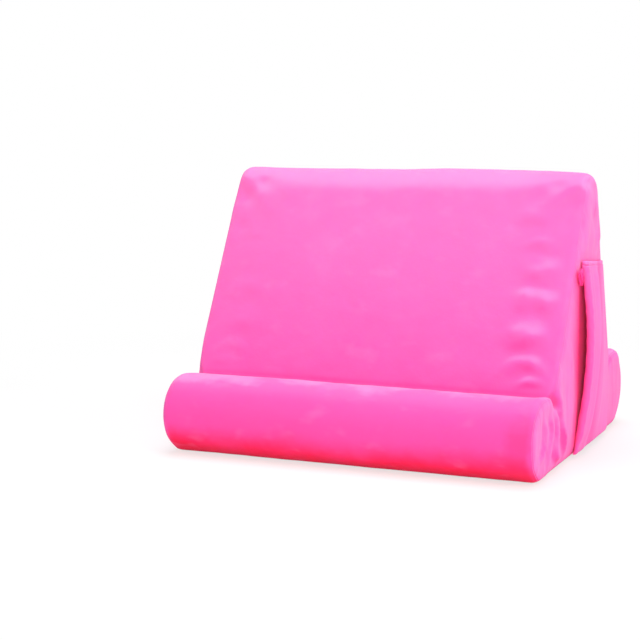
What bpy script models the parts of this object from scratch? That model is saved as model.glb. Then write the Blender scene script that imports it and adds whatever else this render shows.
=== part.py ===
"""Tablet cushion stand: a padded wedge with a roll along each foot and a pocket on its right end.

Metres, +Z up. The origin is on the floor, at mid-width and mid-depth. The backrest faces -Y.
"""

import math

import bmesh
import bpy
from mathutils import Vector

# Body
WIDTH = 0.304
HEIGHT = 0.219
FRONT_ROLL_RADIUS = 0.0305
REAR_ROLL_RADIUS = 0.0328
LEDGE_DEPTH = 0.0295
GROOVE_HEIGHT = 0.0557
REAR_LEDGE_DEPTH = 0.655 * REAR_ROLL_RADIUS
REAR_GROOVE_HEIGHT = 1.86 * REAR_ROLL_RADIUS
BACKREST_ANGLE = 60.9
BACK_ANGLE = 72.5
RIDGE_RADIUS = 0.0185
BASE_EDGE_SETBACK = 0.010
BASE_SEAM_SETBACK = 0.008
END_ROUNDING = 0.0078

# Fabric and filling
FABRIC = 0.0018
GAP = 0.0003
FILLING_CLEARANCE = 0.0008
END_SEAM_ANGLE = 45.0

# Padding above the flat faces
CROWN = 0.004
BACK_CROWN = 0.003
END_PUFF = 0.002
END_PUFF_REACH = 0.045
PUCKER_HEIGHT = 0.0020
PUCKER_PITCH = 0.034
PUCKER_START = 0.088
PUCKER_LOWEST = 0.012

# Pocket on the right end
POCKET_REAR_SETBACK = 0.0116
POCKET_LENGTH = 0.092
POCKET_TOP = 0.155
POCKET_TOP_FALL = 0.006
POCKET_FOOT = 0.0035
POCKET_EDGE_INSET = 0.010
MOUTH_GAPE = 0.0068
GAPE_HEIGHT_POWER = 1.4
GAPE_FULLNESS_POWER = 0.75
POCKET_SLACK_POWER = 1.3
BAND_WIDTH = 0.028
ELASTIC_DIAMETER = 0.0022
TOP_HEM_HEIGHT = 0.005
TOP_HEM_PROUD = 0.0005
POCKET_SEAT_GAP = 0.0005
TUCK_RADII = (0.0030, 0.0034, 0.0078)

# Fineness of the faces
ARC_STEP = 15.0
FACE_STEP = 0.036
SLOPE_STEP = 0.0075
FOLD_SEGMENTS = 6
POCKET_ROWS = 14
RING_ANGLES = (67.5, 90.0)
RING_SHARES = (0.33, 0.66, 1.0)
ROLL_SEGMENTS = 24

BAND_THICKNESS = 2 * FABRIC + ELASTIC_DIAMETER + 2 * GAP
FILLING_DEPTH = FABRIC + FILLING_CLEARANCE
FLAT_HALF = WIDTH / 2 - END_ROUNDING

OUTER, INNER = 0, 1


def unit(degrees):
    angle = math.radians(degrees)
    return Vector((math.cos(angle), math.sin(angle)))


def smooth(share):
    share = min(max(share, 0.0), 1.0)
    return share * share * (3 - 2 * share)


# Section of the body. Each 2D vector is (depth along Y, height along Z).


def arc(centre, radius, start, end):
    steps = math.ceil(abs(end - start) / ARC_STEP)
    return [centre + radius * unit(start + (end - start) * k / steps) for k in range(steps + 1)]


def run(start, end, step):
    steps = max(1, math.ceil((end - start).length / step))
    return [start.lerp(end, k / steps) for k in range(steps + 1)]


def touch_angle(centre, radius, point, side):
    """Where the tangent from a point meets a roll, on one side of the line to its centre."""
    to_point = point - centre
    towards = math.degrees(math.atan2(to_point.y, to_point.x))
    return towards + side * math.degrees(math.acos(radius / to_point.length))


def chain(*pieces):
    """Joins pieces that share their end points."""
    points = list(pieces[0])
    for piece in pieces[1:]:
        points.extend(piece[1:])
    return points


class Section:
    """The places that give the body its outline, from the front roll to the rear one."""

    def __init__(self):
        slope, fall = unit(BACKREST_ANGLE), unit(-BACK_ANGLE)
        face, rear_face = unit(BACKREST_ANGLE + 90), unit(90 - BACK_ANGLE)
        groove = Vector((LEDGE_DEPTH, GROOVE_HEIGHT))
        ridge_height = HEIGHT - RIDGE_RADIUS
        climb = (ridge_height + RIDGE_RADIUS * face.y - GROOVE_HEIGHT) / slope.y
        ridge = groove + climb * slope - RIDGE_RADIUS * face
        ridge_rear = ridge + RIDGE_RADIUS * rear_face
        drop = (ridge_rear.y - REAR_GROOVE_HEIGHT) / -fall.y
        rear_groove = ridge_rear + drop * fall
        rear_roll = Vector((rear_groove.x + REAR_LEDGE_DEPTH, REAR_ROLL_RADIUS))
        shift = Vector(((FRONT_ROLL_RADIUS - REAR_ROLL_RADIUS - rear_roll.x) / 2, 0))
        self.front_roll = Vector((0, FRONT_ROLL_RADIUS)) + shift
        self.groove = groove + shift
        self.ridge = ridge + shift
        self.ridge_front = self.ridge + RIDGE_RADIUS * face
        self.ridge_rear = ridge_rear + shift
        self.rear_groove = rear_groove + shift
        self.rear_roll = rear_roll + shift
        self.back_slope = fall

    def back_y(self, height):
        """Depth of the back face at a height."""
        return self.ridge_rear.x + (height - self.ridge_rear.y) * self.back_slope.x / self.back_slope.y

    def roll_foot(self, roll, side):
        """The base's edge under a roll, and its seam a little way in from that edge."""
        edge = Vector((roll.x + side * BASE_EDGE_SETBACK, 0))
        return edge, edge - Vector((side * BASE_SEAM_SETBACK, 0))

    def ridge_arc(self):
        return arc(self.ridge, RIDGE_RADIUS, BACKREST_ANGLE + 90, 90 - BACK_ANGLE)

    def panels(self):
        """The outline of each panel round the body, clockwise seen from +X."""
        edge, seam = self.roll_foot(self.front_roll, -1)
        start = touch_angle(self.front_roll, FRONT_ROLL_RADIUS, edge, -1) % 360
        end = touch_angle(self.front_roll, FRONT_ROLL_RADIUS, self.groove, 1)
        front_arc = arc(self.front_roll, FRONT_ROLL_RADIUS, start, end)
        rear_edge, rear_seam = self.roll_foot(self.rear_roll, 1)
        rear_start = touch_angle(self.rear_roll, REAR_ROLL_RADIUS, self.rear_groove, -1)
        rear_end = touch_angle(self.rear_roll, REAR_ROLL_RADIUS, rear_edge, 1)
        rear_arc = arc(self.rear_roll, REAR_ROLL_RADIUS, rear_start, rear_end)
        return {
            "front_ledge_panel": chain(
                [seam, edge], [edge, front_arc[0]], front_arc, run(front_arc[-1], self.groove, FACE_STEP)
            ),
            "front_panel": chain(run(self.groove, self.ridge_front, SLOPE_STEP), self.ridge_arc()),
            "back_panel": run(self.ridge_rear, self.rear_groove, FACE_STEP),
            "rear_ledge_panel": chain(
                run(self.rear_groove, rear_arc[0], FACE_STEP), rear_arc, [rear_arc[-1], rear_edge],
                [rear_edge, rear_seam],
            ),
            "base_panel": run(rear_seam, seam, FACE_STEP),
        }


def outward_normals(loop):
    """Mitred outward normals of a closed clockwise loop: an offset along them keeps each side's distance."""
    normals = []
    for before, here, after in zip(loop[-1:] + loop[:-1], loop, loop[1:] + loop[:1]):
        first, second = (here - before).normalized(), (after - here).normalized()
        one, two = Vector((-first.y, first.x)), Vector((-second.y, second.x))
        normals.append((one + two) / (1 + one.dot(two)))
    return normals


SECTION = Section()
PANELS = SECTION.panels()
OUTLINE = [point for points in PANELS.values() for point in points[:-1]]
NORMALS = outward_normals(OUTLINE)
MOUTH_Y = SECTION.rear_groove.x - POCKET_REAR_SETBACK - POCKET_LENGTH


def panel_normals(name):
    """The outline's normals at a panel's points."""
    first = 0
    for other, points in PANELS.items():
        if other == name:
            break
        first += len(points) - 1
    return [NORMALS[(first + k) % len(OUTLINE)] for k in range(len(PANELS[name]))]


def panel_section(name):
    """A panel's points and normals, drawn back by half a gap at each seam."""
    points = list(PANELS[name])
    points[0] = points[0] + (points[1] - points[0]).normalized() * GAP / 2
    points[-1] = points[-1] + (points[-2] - points[-1]).normalized() * GAP / 2
    return points, panel_normals(name)


def edge_distance(place):
    """Distance from a place inside the outline to the outline."""
    nearest = math.inf
    for start, end in zip(OUTLINE, OUTLINE[1:] + OUTLINE[:1]):
        side = end - start
        share = min(max((place - start).dot(side) / side.length_squared, 0.0), 1.0)
        nearest = min(nearest, (start + side * share - place).length)
    return nearest


def end_face_x(place):
    """How far out the right end's outer face lies at a (depth, height)."""
    inset = edge_distance(place)
    short = max(END_ROUNDING - inset, 0.0)
    rounded = math.sqrt(END_ROUNDING**2 - short**2) - END_ROUNDING
    return WIDTH / 2 + rounded + END_PUFF * smooth((inset - END_ROUNDING) / END_PUFF_REACH)


# Padding


def front_padding(along, x):
    """Height of the backrest's crown and of the puckers that its right end seam gathers."""
    length = (SECTION.ridge_front - SECTION.groove).length
    if not 0 < along < length:
        return 0.0
    crown = CROWN * math.sin(math.pi * along / length) * (1 - (x / FLAT_HALF) ** 2)
    across = (x - PUCKER_START) / (FLAT_HALF - PUCKER_START)
    if not 0 < across < 1:
        return crown
    fade = smooth((along - PUCKER_LOWEST) / PUCKER_PITCH) * smooth((length - along) / PUCKER_PITCH)
    wave = 0.5 - 0.5 * math.cos(2 * math.pi * (along - PUCKER_LOWEST) / PUCKER_PITCH)
    return crown + PUCKER_HEIGHT * math.sin(math.pi * across) * fade * wave


def back_padding(along, x):
    length = (SECTION.rear_groove - SECTION.ridge_rear).length
    return BACK_CROWN * math.sin(math.pi * min(along / length, 1.0)) * (1 - (x / FLAT_HALF) ** 2)


def no_padding(along, x):
    return 0.0


# Making objects


def material(name, color, roughness=0.9):
    made = bpy.data.materials.new(name)
    made.use_nodes = True
    shader = made.node_tree.nodes["Principled BSDF"]
    shader.inputs["Base Color"].default_value = (*color, 1)
    shader.inputs["Roughness"].default_value = roughness
    shader.inputs["Metallic"].default_value = 0
    made.diffuse_color = (*color, 1)
    return made


def add_object(name, mesh, collection, color):
    """Turns a bmesh into a smooth-shaded object with a material of its own."""
    bmesh.ops.recalc_face_normals(mesh, faces=mesh.faces)
    data = bpy.data.meshes.new(name)
    mesh.to_mesh(data)
    mesh.free()
    data.shade_smooth()
    data.set_sharp_from_angle(angle=math.radians(40))
    data.materials.append(material(name, color))
    made = bpy.data.objects.new(name, data)
    collection.objects.link(made)
    return made


def sheet(name, surface, rows, columns, collection, color):
    """A closed sheet: an outer and an inner grid placed by surface(row, column, side), bridged at the rim."""
    mesh = bmesh.new()
    for side in (OUTER, INNER):
        made = bmesh.ops.create_grid(mesh, x_segments=rows, y_segments=columns, size=0.5)
        for vert in made["verts"]:
            row, column = round((vert.co.x + 0.5) * rows), round((vert.co.y + 0.5) * columns)
            vert.co = surface(row, column, side)
    bmesh.ops.remove_doubles(mesh, verts=mesh.verts, dist=1e-6)
    rim = [edge for edge in mesh.edges if edge.is_boundary]
    bmesh.ops.bridge_loops(mesh, edges=rim)
    return add_object(name, mesh, collection, color)


# Cover


def stations(flat_stops):
    """Places across a wrap panel: (x, tilt) from one end seam over the flat width to the other."""
    seam = END_SEAM_ANGLE - math.degrees(GAP / 2 / (END_ROUNDING - FABRIC))
    left = [(-FLAT_HALF, -seam), (-FLAT_HALF, -seam / 2)]
    right = [(FLAT_HALF, seam / 2), (FLAT_HALF, seam)]
    return left + [(x, 0.0) for x in flat_stops] + right


def even_stops(count):
    return [FLAT_HALF * (2 * k / count - 1) for k in range(count + 1)]


def pucker_stops():
    """Wide stops over the plain width of the backrest and close ones over its puckers."""
    plain = [-FLAT_HALF + (PUCKER_START + FLAT_HALF) * k / 5 for k in range(6)]
    return plain + [PUCKER_START + (FLAT_HALF - PUCKER_START) * k / 5 for k in range(1, 6)]


def rounded_place(point, normal, x, tilt, depth):
    """A place on the body's skin, depth below its face; tilt goes round the end's rounding."""
    radius = END_ROUNDING - depth
    out = x + radius * math.sin(math.radians(tilt))
    inset = END_ROUNDING - radius * math.cos(math.radians(tilt))
    return out, point - normal * inset


def wrap_panel(name, flat_stops, padding, collection, color):
    points, normals = panel_section(name)
    places = stations(flat_stops)
    along = [0.0]
    for start, end in zip(points, points[1:]):
        along.append(along[-1] + (end - start).length)

    def surface(row, column, side):
        x, tilt = places[column]
        lift = padding(along[row], x) if tilt == 0 else 0.0
        out, place = rounded_place(points[row], normals[row], x, tilt, FABRIC * side)
        place = place + normals[row] * lift
        return Vector((out, place.x, place.y))

    return sheet(name, surface, len(points) - 1, len(places) - 1, collection, color)


def end_panel(name, side_x, collection, color):
    """A triangular end: rings over its rounding, then rings that close on its middle."""
    seam = END_SEAM_ANGLE + math.degrees(GAP / 2 / (END_ROUNDING - FABRIC))
    tilts = (seam, *RING_ANGLES)
    middle = Vector((SECTION.ridge.x - RIDGE_RADIUS, FRONT_ROLL_RADIUS))

    def surface(row, column, side):
        point, normal = OUTLINE[row % len(OUTLINE)], NORMALS[row % len(OUTLINE)]
        if column < len(tilts):
            out, place = rounded_place(point, normal, FLAT_HALF, tilts[column], FABRIC * side)
        else:
            place = (point - normal * END_ROUNDING).lerp(middle, RING_SHARES[column - len(tilts)])
            out = end_face_x(place) - FABRIC * side
        return Vector((side_x * out, place.x, place.y))

    columns = len(tilts) + len(RING_SHARES) - 1
    return sheet(name, surface, len(OUTLINE), columns, collection, color)


# Filling


def wedge_section():
    """The wedge's outline at the cover's face, closed by a straight foot between the rolls."""
    reach = FRONT_ROLL_RADIUS * math.sin(math.radians(END_SEAM_ANGLE))
    rear_reach = REAR_ROLL_RADIUS * math.sin(math.radians(END_SEAM_ANGLE))
    faces = chain(
        run(SECTION.groove, SECTION.ridge_front, FACE_STEP),
        SECTION.ridge_arc(),
        run(SECTION.ridge_rear, SECTION.rear_groove, FACE_STEP),
    )
    foot = [Vector((SECTION.rear_roll.x - rear_reach, 0)), Vector((SECTION.front_roll.x + reach, 0))]
    return faces + foot


def cylinder(name, centre, radius, length, collection, color):
    mesh = bmesh.new()
    bmesh.ops.create_cone(
        mesh, cap_ends=True, segments=ROLL_SEGMENTS, radius1=radius, radius2=radius, depth=length
    )
    made = add_object(name, mesh, collection, color)
    made.rotation_euler = (0, math.pi / 2, 0)
    made.location = (0, centre.x, centre.y)
    return made


def roll_core(name, centre, radius, collection, color):
    """A roll of filling with its ends rounded to the cover."""
    made = cylinder(name, centre, radius - FILLING_DEPTH, WIDTH - 2 * FILLING_DEPTH, collection, color)
    bevel = made.modifiers.new("rounded ends", "BEVEL")
    bevel.width = END_ROUNDING - FILLING_DEPTH
    bevel.segments = 3
    bevel.limit_method = "ANGLE"
    bevel.angle_limit = math.radians(60)
    return made


def core_wedge(cutters, collection, color):
    """The wedge of filling: one grid round its section and over its rounded ends, with the rolls cut away."""
    points = wedge_section()
    normals = outward_normals(points)
    middle = sum(points, Vector((0, 0))) / len(points)
    tilts = [k * END_SEAM_ANGLE / 2 for k in range(5)]
    places = [(-FLAT_HALF, -tilt) for tilt in reversed(tilts)] + [(FLAT_HALF, tilt) for tilt in tilts]
    places = [places[0], *places, places[-1]]

    mesh = bmesh.new()
    rows, columns = len(points), len(places) - 1
    made = bmesh.ops.create_grid(mesh, x_segments=rows, y_segments=columns, size=0.5)
    for vert in made["verts"]:
        row = round((vert.co.x + 0.5) * rows) % rows
        column = round((vert.co.y + 0.5) * columns)
        out, place = rounded_place(points[row], normals[row], *places[column], FILLING_DEPTH)
        if column in (0, columns):
            place = middle
        vert.co = (out, place.x, place.y)
    bmesh.ops.remove_doubles(mesh, verts=mesh.verts, dist=1e-6)
    made = add_object("core_wedge", mesh, collection, color)
    for cutter in cutters:
        cut = made.modifiers.new(cutter.name, "BOOLEAN")
        cut.operation = "DIFFERENCE"
        cut.object = cutter
    return made


# Pocket


def pocket_rear(height):
    """The pocket's rear edge: along the back seam, and no further back than its foot."""
    return min(SECTION.back_y(height) - POCKET_EDGE_INSET, MOUTH_Y + POCKET_LENGTH)


def mouth_gape(share):
    """How far the mouth gapes at a share of its height: most above the middle, nothing where it is sewn."""
    wave = max(math.sin(math.pi * share**GAPE_HEIGHT_POWER), 0.0)
    return MOUTH_GAPE * wave**GAPE_FULLNESS_POWER


def pocket_place(back, height_share):
    """(depth, height, share of the way back) at a distance back from the mouth."""
    height = POCKET_FOOT + (POCKET_TOP - POCKET_FOOT) * height_share
    length = pocket_rear(height) - MOUTH_Y
    share = min(back / length, 1.0)
    height -= POCKET_TOP_FALL * share * height_share
    return Vector((MOUTH_Y + min(back, length), height)), share


def pocket_standoff(share, height_share):
    """How far the pocket's outer face stands off the end panel."""
    at_mouth = BAND_THICKNESS - FABRIC + mouth_gape(height_share)
    return FABRIC + POCKET_SEAT_GAP + (1 - share) ** POCKET_SLACK_POWER * at_mouth


def pocket_face(back, height_share, depth):
    """A place depth below the pocket's outer face."""
    place, share = pocket_place(back, height_share)
    out = end_face_x(place) + pocket_standoff(share, height_share) - depth
    return Vector((out, place.x, place.y))


def pocket_heights():
    """Shares of the pocket's height below its top hem, close together at the rounded foot."""
    top = 1 - (TOP_HEM_HEIGHT + GAP) / (POCKET_TOP - POCKET_FOOT)
    foot = 4 * (END_ROUNDING - POCKET_FOOT) / (POCKET_TOP - POCKET_FOOT) / 3
    close = [foot * k / 4 for k in range(4)]
    rows = POCKET_ROWS - 4
    return close + [foot + (top - foot) * k / rows for k in range(rows + 1)]


def pocket_panel(collection, color):
    heights = pocket_heights()
    shares = (0.0, 0.16, 0.32, 0.48, 0.64, 0.78, 0.87, 0.93, 0.97, 1.0)

    def surface(row, column, side):
        height = POCKET_FOOT + (POCKET_TOP - POCKET_FOOT) * heights[row]
        start = BAND_WIDTH + GAP
        back = start + (pocket_rear(height) - MOUTH_Y - start) * shares[column]
        return pocket_face(back, heights[row], FABRIC * side)

    return sheet("pocket_panel", surface, len(heights) - 1, len(shares) - 1, collection, color)


def pocket_mouth_band(collection, color):
    """A strip folded round the mouth's elastic: outer layer, fold, inner layer."""
    heights = pocket_heights()
    radius = BAND_THICKNESS / 2
    layer = [radius + (BAND_WIDTH - radius) * k / 3 for k in range(4)]
    tilts = [180 * k / FOLD_SEGMENTS for k in range(1, FOLD_SEGMENTS)]
    last = len(layer) - 1

    def thickness(back):
        """The fold's thickness, narrowing to two layers at the band's rear edge."""
        closed = 2 * FABRIC + GAP
        return BAND_THICKNESS + (closed - BAND_THICKNESS) * (back - radius) / (BAND_WIDTH - radius)

    def surface(row, column, side):
        depth, share = FABRIC * side, heights[row]
        if column <= last:
            return pocket_face(layer[last - column], share, depth)
        if column <= last + len(tilts):
            tilt = math.radians(tilts[column - last - 1])
            around = pocket_face(radius, share, radius)
            return around + (radius - depth) * Vector((math.cos(tilt), -math.sin(tilt), 0))
        back = layer[column - last - len(tilts) - 1]
        return pocket_face(back, share, thickness(back) - depth)

    columns = 2 * last + len(tilts) + 1
    return sheet("pocket_mouth_band", surface, len(heights) - 1, columns, collection, color)


def mouth_elastic(collection, color):
    """The cord inside the mouth band's fold."""
    curve = bpy.data.curves.new("mouth_elastic", "CURVE")
    curve.dimensions = "3D"
    curve.bevel_depth = ELASTIC_DIAMETER / 2
    curve.bevel_resolution = 2
    curve.use_fill_caps = True
    points = [pocket_face(BAND_THICKNESS / 2, share, BAND_THICKNESS / 2) for share in pocket_heights()]
    spline = curve.splines.new("POLY")
    spline.points.add(len(points) - 1)
    for point, place in zip(spline.points, points):
        point.co = (*place, 1)
    curve.materials.append(material("mouth_elastic", color, 0.7))
    made = bpy.data.objects.new("mouth_elastic", curve)
    collection.objects.link(made)
    return made


def pocket_top_hem(collection, color):
    """The folded strip that closes the pocket's top edge and stands a little proud of it."""
    low = 1 - TOP_HEM_HEIGHT / (POCKET_TOP - POCKET_FOOT)
    rows = (low, (1 + low) / 2, 1.0)
    shares = (0.0, 0.2, 0.4, 0.6, 0.75, 0.87, 0.95, 1.0)

    def surface(row, column, side):
        back = (pocket_rear(POCKET_TOP) - MOUTH_Y) * shares[column]
        place, share = pocket_place(back, rows[row])
        thick = pocket_standoff(share, rows[row]) + TOP_HEM_PROUD
        out = end_face_x(place) + (POCKET_SEAT_GAP if side == INNER else thick)
        return Vector((out, place.x, place.y))

    return sheet("pocket_top_hem", surface, len(rows) - 1, len(shares) - 1, collection, color)


def pocket_tuck(collection, color):
    """The gathered lump at the top of the mouth, seated on the end panel in front of the band."""
    across, deep, high = TUCK_RADII
    place = Vector((MOUTH_Y - deep - GAP, POCKET_TOP - TOP_HEM_HEIGHT - high))
    mesh = bmesh.new()
    bmesh.ops.create_uvsphere(mesh, u_segments=12, v_segments=8, radius=1)
    bmesh.ops.scale(mesh, verts=mesh.verts, vec=TUCK_RADII)
    made = add_object("pocket_tuck", mesh, collection, color)
    made.location = (end_face_x(place) + GAP + across, place.x, place.y)
    return made


def main():
    for old in list(bpy.data.objects):
        bpy.data.objects.remove(old, do_unlink=True)
    parts = bpy.data.collections.new("tablet_cushion_stand")
    cutters = bpy.data.collections.new("cutters")
    for collection in (parts, cutters):
        bpy.context.scene.collection.children.link(collection)

    plush = (0.97, 0.115, 0.46)
    deep_plush = (0.95, 0.10, 0.40)
    base_plush = (0.90, 0.08, 0.35)
    foam = (0.87, 0.85, 0.78)
    elastic = (0.82, 0.80, 0.78)

    rolls = {
        "front_roll": (SECTION.front_roll, FRONT_ROLL_RADIUS),
        "rear_roll": (SECTION.rear_roll, REAR_ROLL_RADIUS),
    }
    room = []
    for name, (centre, radius) in rolls.items():
        roll_core(name + "_core", centre, radius, parts, foam)
        cutter = cylinder(name + "_room", centre, radius - FILLING_DEPTH + GAP, WIDTH, cutters, foam)
        cutter.hide_render = True
        cutter.display_type = "WIRE"
        room.append(cutter)
    core_wedge(room, parts, foam)

    wrap_panel("front_panel", pucker_stops(), front_padding, parts, plush)
    wrap_panel("back_panel", even_stops(6), back_padding, parts, plush)
    for name in ("front_ledge_panel", "rear_ledge_panel"):
        wrap_panel(name, even_stops(4), no_padding, parts, plush)
    wrap_panel("base_panel", even_stops(4), no_padding, parts, base_plush)
    end_panel("left_end_panel", -1, parts, plush)
    end_panel("right_end_panel", 1, parts, plush)

    pocket_panel(parts, plush)
    pocket_mouth_band(parts, deep_plush)
    mouth_elastic(parts, elastic)
    pocket_top_hem(parts, plush)
    pocket_tuck(parts, deep_plush)


main()
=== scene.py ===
"""Looks of the tablet cushion stand: a simulated plush cover, its gathered pocket, and the studio.

Metres, +Z up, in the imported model's frame. The backrest faces -Y and the pocket is on the +X end.
"""

import math

import bmesh
import bpy
import numpy as np
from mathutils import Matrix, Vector, kdtree, noise
from mathutils.geometry import delaunay_2d_cdt


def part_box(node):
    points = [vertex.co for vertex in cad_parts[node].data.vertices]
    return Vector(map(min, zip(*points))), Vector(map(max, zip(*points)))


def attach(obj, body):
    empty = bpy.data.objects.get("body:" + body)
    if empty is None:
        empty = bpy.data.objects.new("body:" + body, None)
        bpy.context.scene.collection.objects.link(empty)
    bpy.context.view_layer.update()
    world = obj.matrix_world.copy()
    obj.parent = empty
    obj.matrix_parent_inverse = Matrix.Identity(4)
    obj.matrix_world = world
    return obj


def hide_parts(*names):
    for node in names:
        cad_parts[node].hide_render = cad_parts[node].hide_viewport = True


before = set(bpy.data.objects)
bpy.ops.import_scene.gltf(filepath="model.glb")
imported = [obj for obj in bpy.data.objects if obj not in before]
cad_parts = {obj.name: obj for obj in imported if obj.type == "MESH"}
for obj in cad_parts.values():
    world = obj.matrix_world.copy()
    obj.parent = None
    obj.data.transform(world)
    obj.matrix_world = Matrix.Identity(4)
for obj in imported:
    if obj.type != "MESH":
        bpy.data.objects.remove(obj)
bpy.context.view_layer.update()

# Body, from the frame where a box gives it
LEDGE_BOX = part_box("front_ledge_panel")
REAR_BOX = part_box("rear_ledge_panel")
TOP_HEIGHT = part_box("front_panel")[1].z
FRONT_RADIUS = LEDGE_BOX[1].z / 2
REAR_RADIUS = REAR_BOX[1].z / 2
END_PUFF = 0.002
HALF_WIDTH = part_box("right_end_panel")[1].x - END_PUFF
LEDGE_DEPTH = 0.0295
GROOVE_HEIGHT = 0.0557
REAR_GROOVE_HEIGHT = 0.061
BACKREST_ANGLE = 60.9
BACK_ANGLE = 72.5
RIDGE_RADIUS = 0.0185
BASE_EDGE_SETBACK = 0.010
BASE_SEAM_SETBACK = 0.008
END_ROUNDING = 0.0078
END_PUFF_REACH = 0.045
FLAT_HALF = HALF_WIDTH - END_ROUNDING
CROWN = 0.0036
BACK_CROWN = 0.003

# Cover
CELL = 0.006
TILTS = (22.5, 45.0, 67.5, 90.0)
SEAM_TILT = 45.0
FABRIC = 0.0012
SEAM_DEPTH = 0.0008
END_SEAM_DEPTH = 0.0003
SEAM_WIDTH = 0.0026
SEAM_CREASE = 0.35
SEAM_FADE = 0.012
SUBDIVISIONS = 2
RING_GAP = 0.6 * CELL
MERGE_DISTANCE = 1e-6
SIM_FRAMES = 20
SIM_PRESSURE = 4.0
SWELL = {
    "front_panel": 0.0016,
    "front_ledge_panel": 0.0009,
    "back_panel": 0.0022,
    "rear_ledge_panel": 0.0009,
    "base_panel": 0.0,
    "left_end_panel": 0.0012,
    "right_end_panel": 0.0005,
}
PANELS = list(SWELL)

# Pocket
POCKET_BAND_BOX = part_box("pocket_mouth_band")
MOUTH_Y = POCKET_BAND_BOX[0].y
POCKET_REAR_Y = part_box("pocket_panel")[1].y
POCKET_FOOT = POCKET_BAND_BOX[0].z
POCKET_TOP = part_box("pocket_top_hem")[1].z
POCKET_HEIGHT = POCKET_TOP - POCKET_FOOT
POCKET_ROWS = 110
BAND_ROWS = 150
SHEET_COLUMNS = 44
BAND_WIDTH = 0.028
BAND_OVERLAP = 0.0006
BAND_THICKNESS = 0.0064
MOUTH_GAPE = 0.0068
GAPE_LOW_POWER = 1.4
GAPE_WIDE_POWER = 1.15
POCKET_TOP_FALL = 0.006
MOUTH_LEAN = 0.0095
POCKET_EDGE_INSET = 0.010
POCKET_SLACK_POWER = 1.3
TOP_HEM_HEIGHT = 0.005
HEM_OVERLAP = 0.001
POCKET_FABRIC = 0.0018
POCKET_SEAT_GAP = 0.0005
FOOT_SHARE = 0.42
FOOT_REACH = 0.13
ELASTIC_RADIUS = 0.0010
ELASTIC_TOP = 0.96
# Painted shade on the right end at the pocket's mouth and under it
POCKET_MOUTH_SHADE = (1.0, 0.016, 0.20)
# Painted shade on the pocket's inner faces
POCKET_INSIDE_SHADE = (1.0, 0.060, 0.30)
# Painted shade in the pocket's crease
POCKET_CREASE_SHADE = (1.0, 0.080, 0.38)
HEM_HALF_HEIGHT = 0.0019
HEM_SQUARENESS = 0.45
HEM_START = 0.0012
HEM_GAP = 0.0003
HEM_GAP_SLACK = 0.0009
HEM_SINK = 0.0004
HEM_SINK_SLACK = 0.0014
TUCK_SHARES = (0.66, 0.80, 0.80)
TUCK_SHIFT = Vector((0.0010, 0.0015, 0.0))
TUCK_PLEATS = 5
TUCK_PLEAT_RISE = 0.16
TUCK_ROUGHNESS = 0.34

CORE_PRESS = 0.0045

# Colours painted by which way the pile faces: down (painted shade), forward, up the slope and straight up
# (painted light)
COVER_SHADE_TO_LIGHT_TONES = (1.0, 0.005, 0.056), (1.0, 0.078, 0.370), (0.99, 0.116, 0.435), (0.97, 0.245, 0.57)
# The band and pocket panel: the same pile painted paler, as painted light
BAND_PAINTED_LIGHT_TONES = (1.0, 0.110, 0.42), (1.0, 0.112, 0.42), (1.0, 0.100, 0.40), (0.98, 0.205, 0.55)
# The hem: painted paler still, as painted light
HEM_PAINTED_LIGHT_TONES = (0.98, 0.120, 0.46), (0.98, 0.175, 0.53), (0.97, 0.175, 0.52), (0.97, 0.215, 0.57)
# The tuck: the same pile painted deeper, as painted shade
TUCK_PAINTED_SHADE_TONES = (1.0, 0.030, 0.20), (1.0, 0.050, 0.27), (1.0, 0.080, 0.34), (1.0, 0.110, 0.42)
PILE_GLOW = 0.3

# Where the painted light and shade change, each from one place to another
LEDGE_SHADE_HEIGHTS = (0.050, 0.059)
SLOPE_LIGHT_HEIGHTS = (0.058, 0.072)
RISING_LIGHT_HEIGHTS = (0.050, 0.200)
RIDGE_HIGHLIGHT_HEIGHTS = (0.190, 0.206)
PUCKER_SHADE_STRIP = (0.085, 0.135)
PINCH_SHADE_REACH = (0.0090, 0.0035)
CORNER_INNER = (0.126, 0.138)
CORNER_OUTER = (0.151, 0.143)
CORNER_UNDER = (0.056, 0.044)
MOUTH_LEANS = (0.075, 0.150)

# Studio
FLOOR_BOUNCE = (0.86, 0.80, 0.82)
FLOOR_FADE = (0.25, 0.70, 0.66, 1.0)
FLOOR_DROP = 0.0004
FLOOR_REACH = 6
WORLD_LIGHT = 0.34
LAMP_TARGET = (0.0, 0.0, 0.09)

# Camera, fitted to the photo's corners, and its frame of 640 by 640 pixels
CAMERA_FROM_ROLL = (0.477, -1.1885, 0.297)
CAMERA_PITCH = -8.23
CAMERA_YAW = 23.0
SENSOR = 36.0
FOCAL_PIXELS = 1700.0
PHOTO_PIXELS = 640.0


def smooth(share):
    share = np.clip(share, 0.0, 1.0)
    return share * share * (3 - 2 * share)


def bump(distance, width):
    """1 in the middle and fading to nothing over a few widths."""
    return np.exp(-((distance / width) ** 2))


# Section of the body: each 2D place is (depth along Y, height along Z)


def unit(degrees):
    angle = math.radians(degrees)
    return np.array([math.cos(angle), math.sin(angle)])


def arc(centre, radius, start, end):
    steps = max(2, math.ceil(math.radians(abs(end - start)) * radius / CELL))
    return [centre + radius * unit(start + (end - start) * k / steps) for k in range(steps + 1)]


def run(start, end):
    steps = max(1, round(float(np.linalg.norm(end - start)) / CELL))
    return [start + (end - start) * k / steps for k in range(steps + 1)]


def touch_angle(centre, radius, point, side):
    """Where the tangent from a point meets a roll, on one side of the line to its centre."""
    to_point = point - centre
    towards = math.degrees(math.atan2(to_point[1], to_point[0]))
    return towards + side * math.degrees(math.acos(radius / float(np.linalg.norm(to_point))))


def chain(*pieces):
    points = list(pieces[0])
    for piece in pieces[1:]:
        points.extend(piece[1:])
    return points


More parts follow.
